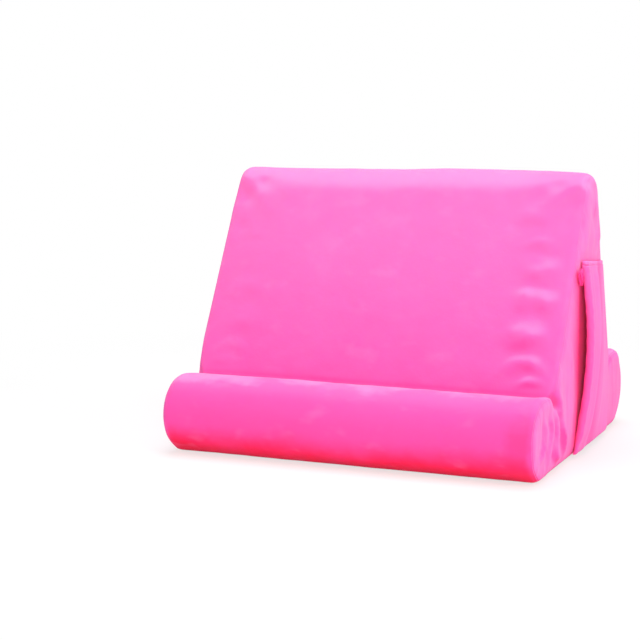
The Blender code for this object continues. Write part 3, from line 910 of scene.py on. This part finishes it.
class Graph:
    """A material's nodes, added and linked by name."""

    def __init__(self, name):
        self.material = bpy.data.materials.new(name)
        self.material.use_nodes = True
        self.tree = self.material.node_tree
        self.shader = self.tree.nodes["Principled BSDF"]
        self.place = self.add("ShaderNodeTexCoord").outputs["Object"]

    def add(self, kind, **values):
        node = self.tree.nodes.new(kind)
        for key, value in values.items():
            setattr(node, key, value)
        return node

    def link(self, source, target):
        self.tree.links.new(source, target)

    def noise(self, scale, detail=2.0, roughness=0.5, stretch=None):
        node = self.add("ShaderNodeTexNoise")
        node.inputs["Scale"].default_value = scale
        node.inputs["Detail"].default_value = detail
        node.inputs["Roughness"].default_value = roughness
        source = self.place
        if stretch:
            mapping = self.add("ShaderNodeMapping")
            mapping.inputs["Scale"].default_value = stretch
            self.link(source, mapping.inputs["Vector"])
            source = mapping.outputs["Vector"]
        self.link(source, node.inputs["Vector"])
        return node.outputs["Fac"]

    def ramp(self, source, low, high, first=0.0, second=1.0):
        node = self.add("ShaderNodeMapRange")
        node.interpolation_type = "SMOOTHSTEP"
        for key, value in (("From Min", low), ("From Max", high), ("To Min", first), ("To Max", second)):
            node.inputs[key].default_value = value
        self.link(source, node.inputs["Value"])
        return node.outputs["Result"]

    def mix(self, share, first, second):
        node = self.add("ShaderNodeMix", data_type="RGBA")
        self.link(share, node.inputs["Factor"])
        for socket, value in ((node.inputs[6], first), (node.inputs[7], second)):
            if isinstance(value, tuple):
                socket.default_value = (*value, 1)
            else:
                self.link(value, socket)
        return node.outputs[2]

    def math(self, operation, first, second):
        node = self.add("ShaderNodeMath", operation=operation)
        for socket, value in zip(node.inputs, (first, second)):
            if isinstance(value, float):
                socket.default_value = value
            else:
                self.link(value, socket)
        return node.outputs["Value"]

    def product(self, first, *others):
        for other in others:
            first = self.math("MULTIPLY", first, other)
        return first

    def swaying(self, source, scale, width):
        """A coordinate that soft noise moves to and fro over a width."""
        sway = self.math("SUBTRACT", self.noise(scale), 0.5)
        return self.math("ADD", source, self.math("MULTIPLY", sway, width))

    def bump(self, heights):
        """Chains bumps, each (source, distance, strength)."""
        normal = None
        for source, distance, strength in heights:
            node = self.add("ShaderNodeBump")
            node.inputs["Distance"].default_value = distance
            node.inputs["Strength"].default_value = strength
            self.link(source, node.inputs["Height"])
            if normal:
                self.link(normal, node.inputs["Normal"])
            normal = node.outputs["Normal"]
        self.link(normal, self.shader.inputs["Normal"])


def from_mouth(graph, axes):
    """Distance behind the mouth's leaning line."""
    leaning = graph.ramp(axes.outputs["Z"], *MOUTH_LEANS, MOUTH_LEAN, 0.0)
    return graph.math("SUBTRACT", graph.math("ADD", axes.outputs["Y"], leaning), MOUTH_Y)


def painted_fold_light_and_shade(graph, axes, colour, pale):
    """Painted highlights along two of the pocket's folds and painted shade in the crease between them."""
    back = graph.swaying(from_mouth(graph, axes), 32.0, 0.010)
    fold_highlight = graph.product(graph.ramp(back, 0.012, 0.026), graph.ramp(back, 0.034, 0.029, 0.0, 0.8))
    crease = graph.product(graph.ramp(back, 0.030, 0.036), graph.ramp(back, 0.056, 0.044, 0.0, 0.6))
    colour = graph.mix(fold_highlight, colour, pale)
    colour = graph.mix(crease, colour, POCKET_CREASE_SHADE)
    return graph.mix(graph.ramp(back, 0.052, 0.064, 0.0, 0.6), colour, pale)


def ledge_corner_shade(graph, axes):
    """Share of the painted shade on the front roll, next to its right end."""
    across = graph.swaying(axes.outputs["X"], 60.0, 0.016)
    inner, outer = graph.ramp(across, *CORNER_INNER), graph.ramp(across, *CORNER_OUTER)
    front = graph.ramp(axes.outputs["Y"], SECTION.front_roll[0] - 0.008, SECTION.front_roll[0] - 0.020)
    under = graph.ramp(axes.outputs["Z"], *CORNER_UNDER, 0.0, 0.26)
    return graph.product(inner, outer, front, under)


def pocket_shade_share(graph, axes):
    """Share of the painted shade under the pocket and along its mouth, on the right end."""
    starts = graph.ramp(from_mouth(graph, axes), -0.021, 0.007)
    ends = graph.ramp(axes.outputs["Y"], MOUTH_Y + 0.050, MOUTH_Y + 0.030)
    under = graph.ramp(axes.outputs["Z"], POCKET_TOP - 0.006, POCKET_TOP - 0.012)
    outer = graph.ramp(axes.outputs["X"], HALF_WIDTH - 0.004, HALF_WIDTH - 0.001)
    return graph.product(starts, ends, under, outer)


def plush(name, tones, pocket=False):
    """Short velvet pile with brushed patches and fine fibres; its colour is painted paler the more it
    faces up or sideways and the higher it lies, and deeper where it faces down, as painted light and
    shade.
    """
    low, front, slope, top = tones
    graph = Graph(name)
    shader = graph.shader
    normal = graph.add("ShaderNodeSeparateXYZ")
    graph.link(graph.add("ShaderNodeNewGeometry").outputs["Normal"], normal.inputs[0])
    axes = graph.add("ShaderNodeSeparateXYZ")
    graph.link(graph.place, axes.inputs[0])
    height, upright = axes.outputs["Z"], normal.outputs["Z"]
    patches = graph.noise(26.0, 3.0, 0.55)
    strokes = graph.noise(1.0, 2.0, 0.5, stretch=(38.0, 95.0, 60.0))
    sideways = graph.math("ABSOLUTE", normal.outputs["X"], 0.0)
    lean = graph.math("ADD", upright, graph.product(sideways, 0.35))
    lean = graph.math("ADD", lean, graph.product(graph.math("SUBTRACT", patches, 0.5), 0.45))
    # Painted shade where the pile faces down, painted light the more it faces up or sideways
    colour = graph.mix(graph.ramp(lean, -0.90, 0.0), low, front)
    # The slope's paler colour is mostly held back low on the front roll, as painted shade there, though
    # not on the ends
    on_end = graph.ramp(sideways, 0.6, 0.9)
    lower = graph.math("MAXIMUM", graph.ramp(height, *LEDGE_SHADE_HEIGHTS, 0.15, 1.0), on_end)
    colour = graph.mix(graph.product(graph.ramp(lean, 0.0, 0.60), lower), colour, slope)
    colour = graph.mix(graph.ramp(lean, 0.93, 1.04, 0.0, 0.9), colour, top)
    # Painted light up the slope and the higher the pile lies
    upper = graph.ramp(height, *SLOPE_LIGHT_HEIGHTS, 0.08, 0.85)
    colour = graph.mix(graph.product(graph.ramp(lean, 0.52, 0.88), upper), colour, top)
    colour = graph.mix(graph.ramp(height, *RISING_LIGHT_HEIGHTS, 0.0, 0.30), colour, top)
    # Painted light on both end faces, as if lit from the side
    colour = graph.mix(graph.ramp(sideways, 0.75, 1.0, 0.0, 0.56), colour, top)
    # Pale and deep streaks on the ends: painted light and shade of fine vertical folds
    streaks = graph.noise(1.0, 3.0, 0.6, stretch=(12.0, 170.0, 16.0))
    colour = graph.mix(graph.product(graph.ramp(streaks, 0.52, 0.70, 0.0, 0.45), on_end), colour, top)
    colour = graph.mix(graph.product(graph.ramp(streaks, 0.46, 0.30, 0.0, 0.40), on_end), colour, front)
    # Painted highlight along the top ridge
    ridge = graph.product(graph.ramp(height, *RIDGE_HIGHLIGHT_HEIGHTS), graph.ramp(upright, 0.50, 0.75))
    colour = graph.mix(ridge, colour, top)
    colour = graph.mix(graph.ramp(strokes, 0.55, 0.80, 0.0, 0.20), colour, top)
    if pocket:
        # Painted highlights and shade on the pocket's folds
        colour = painted_fold_light_and_shade(graph, axes, colour, top)
        # Painted shade on faces that turn in towards the end
        colour = graph.mix(graph.ramp(normal.outputs["X"], -0.35, -0.85), colour, POCKET_INSIDE_SHADE)
    else:
        # Painted shade on the front roll next to its right end
        colour = graph.mix(ledge_corner_shade(graph, axes), colour, low)
        # Painted shade over the backrest's right part, where it puckers
        sloping = graph.product(graph.ramp(upright, 0.2, 0.4), graph.ramp(sideways, 0.6, 0.3))
        beside = graph.product(graph.ramp(axes.outputs["X"], *PUCKER_SHADE_STRIP, 0.0, 0.20), sloping)
        colour = graph.mix(beside, colour, front)
        # Painted shade in the crease where the right ledge's end meets the groove
        from_pinch = graph.add("ShaderNodeVectorMath", operation="DISTANCE")
        graph.link(graph.place, from_pinch.inputs[0])
        from_pinch.inputs[1].default_value = (HALF_WIDTH, *SECTION.groove)
        colour = graph.mix(graph.ramp(from_pinch.outputs["Value"], *PINCH_SHADE_REACH, 0.0, 0.7), colour, low)
        # Painted shade on the right end under the pocket and along its mouth
        colour = graph.mix(pocket_shade_share(graph, axes), colour, POCKET_MOUTH_SHADE)
    graph.link(colour, shader.inputs["Base Color"])
    shader.inputs["Roughness"].default_value = 0.92
    shader.inputs["Subsurface Weight"].default_value = PILE_GLOW
    shader.inputs["Subsurface Radius"].default_value = (1.0, 0.10, 0.28)
    shader.inputs["Subsurface Scale"].default_value = 0.006
    shader.inputs["Specular IOR Level"].default_value = 0.12
    shader.inputs["Sheen Weight"].default_value = 0.22
    shader.inputs["Sheen Roughness"].default_value = 0.45
    shader.inputs["Sheen Tint"].default_value = (1.0, 0.50, 0.82, 1)
    fibres = graph.noise(2600.0, 1.0, 0.6)
    tufts = graph.noise(620.0, 2.0, 0.55)
    soft = graph.noise(120.0, 3.0, 0.5)
    graph.bump([(fibres, 0.00022, 0.35), (tufts, 0.0004, 0.30), (soft, 0.0009, 0.30)])
    return graph.material


def filling(name, colour, dark, scale):
    """Open foam: fine cells over a pale colour."""
    graph = Graph(name)
    cells = graph.add("ShaderNodeTexVoronoi")
    cells.inputs["Scale"].default_value = scale
    graph.link(graph.place, cells.inputs["Vector"])
    tone = graph.mix(graph.ramp(cells.outputs["Distance"], 0.0, 0.5), dark, colour)
    graph.link(tone, graph.shader.inputs["Base Color"])
    graph.shader.inputs["Roughness"].default_value = 0.95
    graph.bump([(cells.outputs["Distance"], 0.0006, 0.6)])
    return graph.material


def braid(name, colour, dark):
    """Braided elastic: fine slanting strands."""
    graph = Graph(name)
    wave = graph.add("ShaderNodeTexWave")
    wave.inputs["Scale"].default_value = 900.0
    wave.inputs["Distortion"].default_value = 1.5
    graph.link(graph.place, wave.inputs["Vector"])
    tone = graph.mix(graph.ramp(wave.outputs["Fac"], 0.2, 0.8), dark, colour)
    graph.link(tone, graph.shader.inputs["Base Color"])
    graph.shader.inputs["Roughness"].default_value = 0.8
    graph.bump([(wave.outputs["Fac"], 0.0003, 0.5)])
    return graph.material


# Studio


def lamp(name, place, size, power):
    """A round lamp that faces the object."""
    data = bpy.data.lights.new(name, "AREA")
    data.shape = "DISK"
    data.size = size
    data.energy = power
    made = new_object(name, data)
    made.location = place
    made.rotation_euler = (Vector(LAMP_TARGET) - made.location).to_track_quat("-Z", "Y").to_euler()


def white_to_camera(tree, shader_socket, output):
    """Shows plain white to the camera, gloss and glass, and the given shader to all other light."""
    path = tree.nodes.new("ShaderNodeLightPath")
    shown = path.outputs["Is Camera Ray"]
    for ray in ("Is Glossy Ray", "Is Transmission Ray"):
        either = tree.nodes.new("ShaderNodeMath")
        either.operation = "MAXIMUM"
        tree.links.new(shown, either.inputs[0])
        tree.links.new(path.outputs[ray], either.inputs[1])
        shown = either.outputs[0]
    mix = tree.nodes.new("ShaderNodeMixShader")
    tree.links.new(shown, mix.inputs[0])
    tree.links.new(shader_socket, mix.inputs[1])
    tree.links.new(mix.outputs[0], output)
    return mix


def studio():
    scene = bpy.context.scene
    world = bpy.data.worlds.new("studio")
    world.use_nodes = True
    scene.world = world
    tree = world.node_tree
    dim = tree.nodes["Background"]
    dim.inputs["Color"].default_value = (1, 1, 1, 1)
    dim.inputs["Strength"].default_value = WORLD_LIGHT
    bright = tree.nodes.new("ShaderNodeBackground")
    bright.inputs["Color"].default_value = (1, 1, 1, 1)
    bright.inputs["Strength"].default_value = 1.0
    mix = white_to_camera(tree, dim.outputs[0], tree.nodes["World Output"].inputs["Surface"])
    tree.links.new(bright.outputs[0], mix.inputs[2])

    graph = Graph("floor")
    cloud = graph.noise(3.0, 2.0)
    path = graph.add("ShaderNodeLightPath")
    pale = graph.mix(graph.ramp(cloud, 0.3, 0.7), (0.88, 0.88, 0.88), (0.92, 0.92, 0.92))
    tint = graph.mix(path.outputs["Is Diffuse Ray"], pale, FLOOR_BOUNCE)
    graph.link(tint, graph.shader.inputs["Base Color"])
    graph.shader.inputs["Roughness"].default_value = 0.9
    bright = graph.add("ShaderNodeEmission")
    away = graph.add("ShaderNodeVectorMath", operation="LENGTH")
    graph.link(graph.place, away.inputs[0])
    blend = graph.add("ShaderNodeMixShader")
    graph.link(graph.ramp(away.outputs["Value"], *FLOOR_FADE), blend.inputs[0])
    graph.link(graph.shader.outputs[0], blend.inputs[1])
    graph.link(bright.outputs[0], blend.inputs[2])
    output = graph.tree.nodes["Material Output"].inputs["Surface"]
    mix = white_to_camera(graph.tree, graph.shader.outputs[0], output)
    graph.link(blend.outputs[0], mix.inputs[2])
    data = bpy.data.meshes.new("floor")
    corners = [(FLOOR_REACH * x, FLOOR_REACH * y, 0) for x, y in ((-1, -1), (1, -1), (1, 1), (-1, 1))]
    data.from_pydata(corners, [], [(0, 1, 2, 3)])
    data.materials.append(graph.material)
    floor = new_object("floor", data)
    floor.location.z = -FLOOR_DROP

    lamp("key", (0.60, -0.75, 1.70), size=1.1, power=9)
    lamp("front", (0.56, -1.38, 0.40), size=0.6, power=7)
    lamp("top", (-0.10, 0.10, 1.80), size=1.2, power=17)
    lamp("side", (1.60, -0.20, 0.75), size=0.5, power=8.5)
    lamp("fill", (-1.30, -0.90, 0.90), size=1.4, power=5)

    data = bpy.data.cameras.new("camera")
    data.sensor_width = SENSOR
    data.lens = FOCAL_PIXELS / PHOTO_PIXELS * SENSOR
    camera = new_object("camera", data)
    camera.location = Vector(CAMERA_FROM_ROLL) + Vector((0, SECTION.front_roll[0], 0))
    camera.rotation_euler = (math.radians(90 + CAMERA_PITCH), 0, math.radians(CAMERA_YAW))
    scene.camera = camera
    scene.view_settings.view_transform = "Standard"


def pressed_core(node):
    """A copy of a filling's solid, pressed in a little so that the cover's creases don't reach it."""
    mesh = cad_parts[node].data.copy()
    mesh.transform(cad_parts[node].matrix_world)
    clean(mesh)
    set_coordinates(mesh, of_vertices(mesh, "co") - CORE_PRESS * of_vertices(mesh, "normal"))
    return new_object(node + "_foam", mesh)


def dress(piece, node, surface):
    """Gives a piece its material, hangs it on the root body and hides the node it stands for."""
    piece.data.materials.clear()
    piece.data.materials.append(surface)
    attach(piece, "root")
    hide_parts(node)


def main():
    cover = plush("plush", COVER_SHADE_TO_LIGHT_TONES)
    # The band, hem and tuck take paler or deeper copies of the pile, as painted light and shade
    band = plush("plush_band", BAND_PAINTED_LIGHT_TONES, pocket=True)
    hem = plush("plush_hem", HEM_PAINTED_LIGHT_TONES, pocket=True)
    tuck = plush("plush_tuck", TUCK_PAINTED_SHADE_TONES)

    mesh = cover_mesh()
    wrinkle(mesh)
    for name, piece in split_panels(mesh).items():
        dress(piece, name, cover)
    dress(pocket_panel(), "pocket_panel", band)
    dress(pocket_mouth_band(), "pocket_mouth_band", band)
    dress(pocket_top_hem(), "pocket_top_hem", hem)
    dress(pocket_tuck(), "pocket_tuck", tuck)

    foam = filling("foam", (0.87, 0.85, 0.78), (0.74, 0.71, 0.62), 700.0)
    fibre = filling("fibre", (0.90, 0.89, 0.86), (0.80, 0.79, 0.76), 420.0)
    elastic = braid("elastic", (0.84, 0.82, 0.80), (0.62, 0.60, 0.58))
    dress(pressed_core("core_wedge"), "core_wedge", foam)
    dress(mouth_elastic(), "mouth_elastic", elastic)
    for node in ("front_roll_core", "rear_roll_core"):
        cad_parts[node].data.materials.clear()
        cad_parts[node].data.materials.append(fibre)

    studio()


main()
